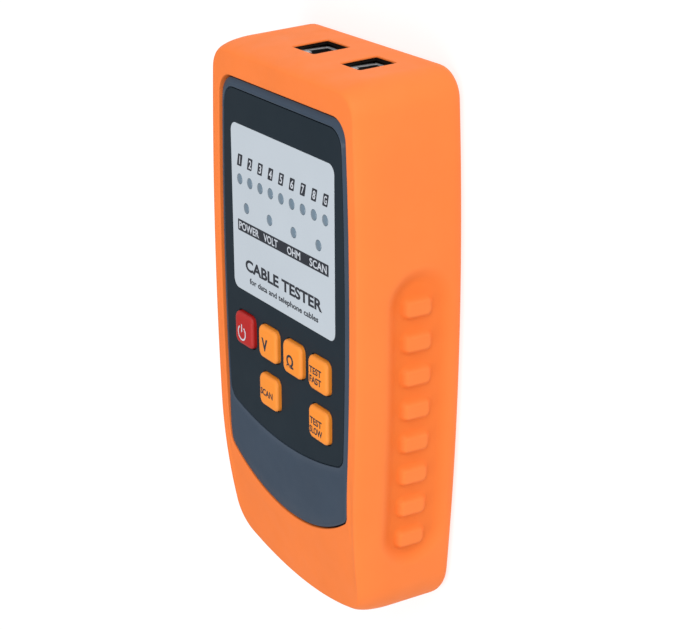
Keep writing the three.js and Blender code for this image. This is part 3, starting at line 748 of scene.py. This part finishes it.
def front_case():
    slope = rim()
    well = pocket()
    rings = case_walls() + slope + deck(slope[-1], well[0]) + well
    case = new_object("case_front", loft(rings, cap="strips"), SLATE)
    carve(case, *[surround(name) for name in PORT_WIDTHS], operation="UNION")
    carve(case, below_joint(), key_openings(GAP), led_openings(1.8),
          *[jack_room(name) for name in PORT_WIDTHS], *[case_port(name) for name in PORT_WIDTHS])
    settle(case, ["front_case"])


def overlay():
    low = FILM_Z - FILM_THICKNESS
    rings = [
        level(outline(OVERLAY), low),
        level(outline(OVERLAY), FILM_Z - 0.06),
        level(outline(shrunk(OVERLAY, 0.06)), FILM_Z),
    ]
    film = new_object("overlay_film", loft(rings, cap="strips"), FILM)
    window = rounded_rect(LABEL_WIDTH + 0.5, LABEL_HEIGHT + 0.5, LABEL_CORNER + 0.25, 10, 0, LABEL_Y)
    carve(film, prism(window, low - 1, DECK_Z + 1), key_openings(0.4))
    settle(film, ["face_overlay"])


def label():
    shapes = [rounded_rect(LABEL_WIDTH + 0.3 - 2 * inset, LABEL_HEIGHT + 0.3 - 2 * inset,
                           LABEL_CORNER, 10, 0, LABEL_Y) for inset in (0, 0.05)]
    rings = [level(shapes[0], FILM_Z - FILM_THICKNESS), level(shapes[0], FILM_Z - 0.05),
             level(shapes[1], FILM_Z)]
    plate = new_object("label_film", loft(rings), PALE)
    carve(plate, led_openings(1.6))
    settle(plate, ["label_plate"])


def led_lenses():
    """Domed lenses on round bodies with a small flange."""
    for name in led_names():
        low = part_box(name)[0][2] / MM
        place = middle(name)
        profile = [(1.6, low), (1.6, low + 0.8), (1.5, low + 0.8), (1.5, FILM_Z - 0.1)]
        for i in range(1, 7):
            turn = math.pi / 2 * i / 7
            profile.append((1.5 * math.cos(turn), FILM_Z - 0.1 + 0.4 * math.sin(turn)))
        rings = [level(circle(place.x, place.y, radius), z) for radius, z in profile]
        lens = new_object(f"{name}_lens", loft(rings), LENS)
        settle(lens, [name])


# ---------------------------------------------------------------- keys

def crown(x, y):
    """Height of a key's domed top, about its own middle."""
    return KEY_TOP - KEY_CROWN * ((2 * x / KEY_WIDTH) ** 2 + (2 * y / KEY_HEIGHT) ** 2) / 2


def key_solid():
    steps = 8
    stem = rounded_rect(4.4, 4.4, 2.19, steps)
    flange = rounded_rect(12.2, 12, 0.6, steps)
    wall = rounded_rect(KEY_WIDTH, KEY_HEIGHT, KEY_CORNER, steps)
    rings = [
        level(stem, KEY_FLANGE_Z - 3), level(stem, KEY_FLANGE_Z - 0.9),
        level(flange, KEY_FLANGE_Z - 0.9), level(flange, KEY_FLANGE_Z),
        level(wall, KEY_FLANGE_Z),
    ]
    round_in, round_down = 1.1, 0.9
    for i in range(9):
        turn = math.pi / 2 * i / 8
        inset = round_in * (1 - math.cos(turn))
        drop = round_down * (1 - math.sin(turn))
        shape = rounded_rect(KEY_WIDTH - 2 * inset, KEY_HEIGHT - 2 * inset,
                             max(KEY_CORNER - inset * 0.6, 0.5), steps)
        rings.append([(x, y, crown(x, y) - drop) for x, y in shape])
    edge = rings[-1]
    for share in (0.8, 0.6, 0.4, 0.2):
        shape = [(x * share, y * share) for x, y, z in edge]
        rings.append([(x, y, crown(x, y)) for x, y in shape])
    return loft(rings)


def keys():
    for name in key_names():
        place = middle(name)
        material = RED if name == "key_power" else AMBER
        cap = new_object(f"{name}_cap", moved(key_solid(), place.x, place.y), material)
        settle(cap, [name], body=name)


# ---------------------------------------------------------------- printing

def lettering(text, x, y, width, height, low, high, bold=0.0, slant=0.0):
    """Closed letters that fill a box of the given width and height about x and y."""
    curve = bpy.data.curves.new("letters", "FONT")
    curve.body = text
    curve.offset = bold
    curve.shear = slant
    curve.extrude = 0.5
    curve.resolution_u = 4
    writer = bpy.data.objects.new("letters", curve)
    bpy.context.scene.collection.objects.link(writer)
    bpy.context.view_layer.update()
    graph = bpy.context.evaluated_depsgraph_get()
    mesh = bpy.data.meshes.new_from_object(writer.evaluated_get(graph))
    shape = bmesh.new()
    shape.from_mesh(mesh)
    bmesh.ops.remove_doubles(shape, verts=shape.verts, dist=1e-5)
    xs = [v.co.x for v in shape.verts]
    ys = [v.co.y for v in shape.verts]
    scale_x = width / (max(xs) - min(xs))
    scale_y = height / (max(ys) - min(ys))
    vertices = [(x - width / 2 + (v.co.x - min(xs)) * scale_x,
                 y - height / 2 + (v.co.y - min(ys)) * scale_y,
                 high if v.co.z > 0 else low) for v in shape.verts]
    faces = [tuple(v.index for v in face.verts) for face in shape.faces]
    shape.free()
    bpy.data.objects.remove(writer)
    return vertices, faces


INK_LOW = FILM_Z - 0.02
INK_HIGH = FILM_Z + 0.03
DIGIT_Y = 46.8
BAND_Y = 27.2
BAND_HEIGHT = 3.4
BAND_WIDTH = 50.5
LABEL_LINES = (("CABLE TESTER", 0.2, 15.9, 43, 3.6, 0.032),
               ("for data and telephone cables", 0.3, 11.2, 38.6, 2.3, 0.022))
STATUS_WORDS = (("POWER", -18.7, 11.6), ("VOLT", -6.2, 8), ("OHM", 6.7, 7.2), ("SCAN", 19.8, 9))


def slanted_box(x, y, width, height, slant):
    shape = [(x + px + (py / height) * slant, y + py)
             for px, py in rounded_rect(width, height, 0.25, 2)]
    return prism(shape, INK_LOW, INK_HIGH)


def led_signs():
    """A dark slanted box with a pale sign in it over each LED of the row."""
    boxes, signs = [], []
    for name in led_names():
        place = middle(name)
        sign = name[len("led_"):].upper()
        if len(sign) > 1:
            continue
        width = 0.8 if sign == "1" else 1.6
        boxes.append(slanted_box(place.x + 0.3, DIGIT_Y, 2.6, 3.6, 0.9))
        signs.append(lettering(sign, place.x + 0.3, DIGIT_Y, width, 2.5,
                               INK_HIGH - 0.02, INK_HIGH + 0.02, 0.02, 0.2))
    return boxes, signs


def label_print():
    band = prism(rounded_rect(BAND_WIDTH, BAND_HEIGHT, 0.2, 2, 0, BAND_Y), INK_LOW, INK_HIGH)
    boxes, pale = led_signs()
    dark = [band, *boxes]
    for word, x, width in STATUS_WORDS:
        pale.append(lettering(word, x, BAND_Y, width, 2.3, INK_HIGH - 0.02, INK_HIGH + 0.02, 0.018))
    for text, x, y, width, height, bold in LABEL_LINES:
        dark.append(lettering(text, x, y, width, height, INK_LOW, INK_HIGH, bold))
    ink = new_object("label_ink", together(*dark), INK)
    settle(ink)
    letters = new_object("label_pale_ink", together(*pale), LIGHT_INK)
    settle(letters)


def power_sign(radius, stroke):
    """An open ring with a bar in its gap."""
    gap = math.radians(35)
    outer = arc((0, 0), radius, math.pi / 2 + gap, math.pi / 2 + math.tau - gap, 28)
    inner = arc((0, 0), radius - stroke, math.pi / 2 + math.tau - gap, math.pi / 2 + gap, 28)
    ring_faces = []
    points = outer + inner
    count = len(points)
    for i in range(len(outer) - 1):
        ring_faces.append((i, i + 1, count - 2 - i, count - 1 - i))
    low = [(x, y, 0) for x, y in points]
    high = [(x, y, 1) for x, y in points]
    faces = [tuple(reversed(face)) for face in ring_faces]
    faces += [tuple(i + count for i in face) for face in ring_faces]
    faces += [(i, (i + 1) % count, (i + 1) % count + count, i + count) for i in range(count)]
    bar = rounded_rect(stroke, radius * 1.05, stroke * 0.45, 3, 0, radius * 0.62)
    return together((low + high, faces), prism(bar, 0, 1))


def draped(solid, place):
    """Lays a flat sign on a key's domed top: its lower side just inside, its upper side just out."""
    vertices, faces = solid
    laid = []
    for x, y, z in vertices:
        proud = 0.025 if z > 0 else -0.03
        laid.append((x + place.x, y + place.y, crown(x, y) + proud))
    return laid, faces


def key_signs():
    signs = {
        "key_power": moved(power_sign(2.4, 0.5), -0.7, -1.1),
        "key_volt": lettering("V", -1.1, -0.5, 3.5, 3.9, 0, 1, 0.04),
        "key_ohm": lettering("Ω", -0.6, -0.7, 3.8, 3.9, 0, 1, 0.03),
        "key_test_fast": together(lettering("TEST", -0.7, 1, 6.5, 2.1, 0, 1, 0.025),
                                  lettering("FAST", -0.7, -1.8, 6.3, 2.1, 0, 1, 0.025)),
        "key_scan": lettering("SCAN", -0.5, -0.5, 7, 2.1, 0, 1, 0.025),
        "key_test_slow": together(lettering("TEST", -0.7, 0.6, 6.5, 2.1, 0, 1, 0.025),
                                  lettering("SLOW", -0.7, -2.2, 6.9, 2.1, 0, 1, 0.025)),
    }
    for name, sign in signs.items():
        pale = name == "key_power"
        piece = new_object(f"{name}_sign", draped(sign, middle(name)), LIGHT_INK if pale else INK)
        settle(piece, body=name)


# ---------------------------------------------------------------- screws

def case_screw(name):
    """A pan-head screw with a cross recess, its head towards the back."""
    low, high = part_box(name)
    place = middle(name)
    bottom, top = low[2] / MM, high[2] / MM
    profile = [(1.7, bottom), (2.1, bottom + 0.15), (2.35, bottom + 0.5), (2.4, bottom + 0.9),
               (2.4, bottom + 1.7), (1.4, bottom + 1.7), (1.4, top - 1.5), (0.5, top)]
    rings = [level(circle(place.x, place.y, radius, 28), z) for radius, z in profile]
    screw = new_object(f"{name}_head", loft(rings), SCREW)
    arm = [prism(rounded_rect(w, h, 0.15, 3, place.x, place.y), bottom - 1, bottom + 1)
           for w, h in ((2.6, 0.6), (0.6, 2.6))]
    carve(screw, *arm)
    settle(screw, [name], sharp=30)


# ---------------------------------------------------------------- stage

CAMERA_PLACE = Vector((422.2, 187.3, 273.6)) * MM
CAMERA_TURN = 58.43           # degrees round +Y, from the front towards the right side
CAMERA_RISE = 20.4            # degrees above the middle, towards the jacks
CAMERA_ROLL = -0.3
CAMERA_LENS = 96.78


def camera():
    """Looks at the face and the right side, with the jacks upwards."""
    turn, rise, tilt = (math.radians(a) for a in (CAMERA_TURN, CAMERA_RISE, CAMERA_ROLL))
    back = Vector((math.cos(rise) * math.sin(turn), math.sin(rise), math.cos(rise) * math.cos(turn)))
    right = Vector((0, 1, 0)).cross(back).normalized()
    up = back.cross(right)
    stand = Matrix((right, up, back)).transposed() @ Matrix.Rotation(tilt, 3, "Z")
    data = bpy.data.cameras.new("camera")
    data.lens = CAMERA_LENS
    data.sensor_width = 36
    data.clip_start = 0.01
    data.clip_end = 20
    viewer = bpy.data.objects.new("camera", data)
    viewer.matrix_world = Matrix.Translation(CAMERA_PLACE) @ stand.to_4x4()
    bpy.context.scene.collection.objects.link(viewer)
    bpy.context.scene.camera = viewer


def lamp(name, place, size, power):
    """A soft square light, aimed at the tester."""
    data = bpy.data.lights.new(name, "AREA")
    data.size = size
    data.energy = power
    light = bpy.data.objects.new(name, data)
    light.location = place
    light.rotation_euler = (-Vector(place)).to_track_quat("-Z", "Y").to_euler()
    bpy.context.scene.collection.objects.link(light)


SKY_STRENGTH = 0.45
PAPER_GLOW = 0.76             # keeps the floor white under soft light
FLOOR_REACH = 4.0             # metres from the middle to each side


def sky():
    world = bpy.data.worlds.new("studio")
    world.use_nodes = True
    light = world.node_tree.nodes["Background"]
    light.inputs["Color"].default_value = (1, 1, 1, 1)
    light.inputs["Strength"].default_value = SKY_STRENGTH
    bpy.context.scene.world = world


def paper_floor():
    paper = finish("floor_paper", (0.3, 0.3, 0.3), 0.9, 0.8, 0.01, 0.01, specular=0.1)
    shader = paper.node_tree.nodes["Principled BSDF"]
    shader.inputs["Emission Color"].default_value = (1, 1, 1, 1)
    shader.inputs["Emission Strength"].default_value = PAPER_GLOW
    side = FLOOR_REACH
    corners = [(-side, -side, 0), (side, -side, 0), (side, side, 0), (-side, side, 0)]
    floor = new_object("floor", (corners, [(0, 1, 2, 3)]), paper)
    floor.location.z = -0.0001


def studio():
    bpy.context.scene.view_settings.view_transform = "Standard"
    sky()
    lamp("top_light", (0.8, 1.03, 0.8), 0.8, 11)
    lamp("front_light", (0.36, -0.45, 1.4), 1.0, 10)
    paper_floor()


camera()
studio()
finish_cad_nodes()
rubber_boot()
front_case()
overlay()
label()
led_lenses()
keys()
label_print()
key_signs()
for index in range(1, 5):
    case_screw(f"case_screw_{index}")
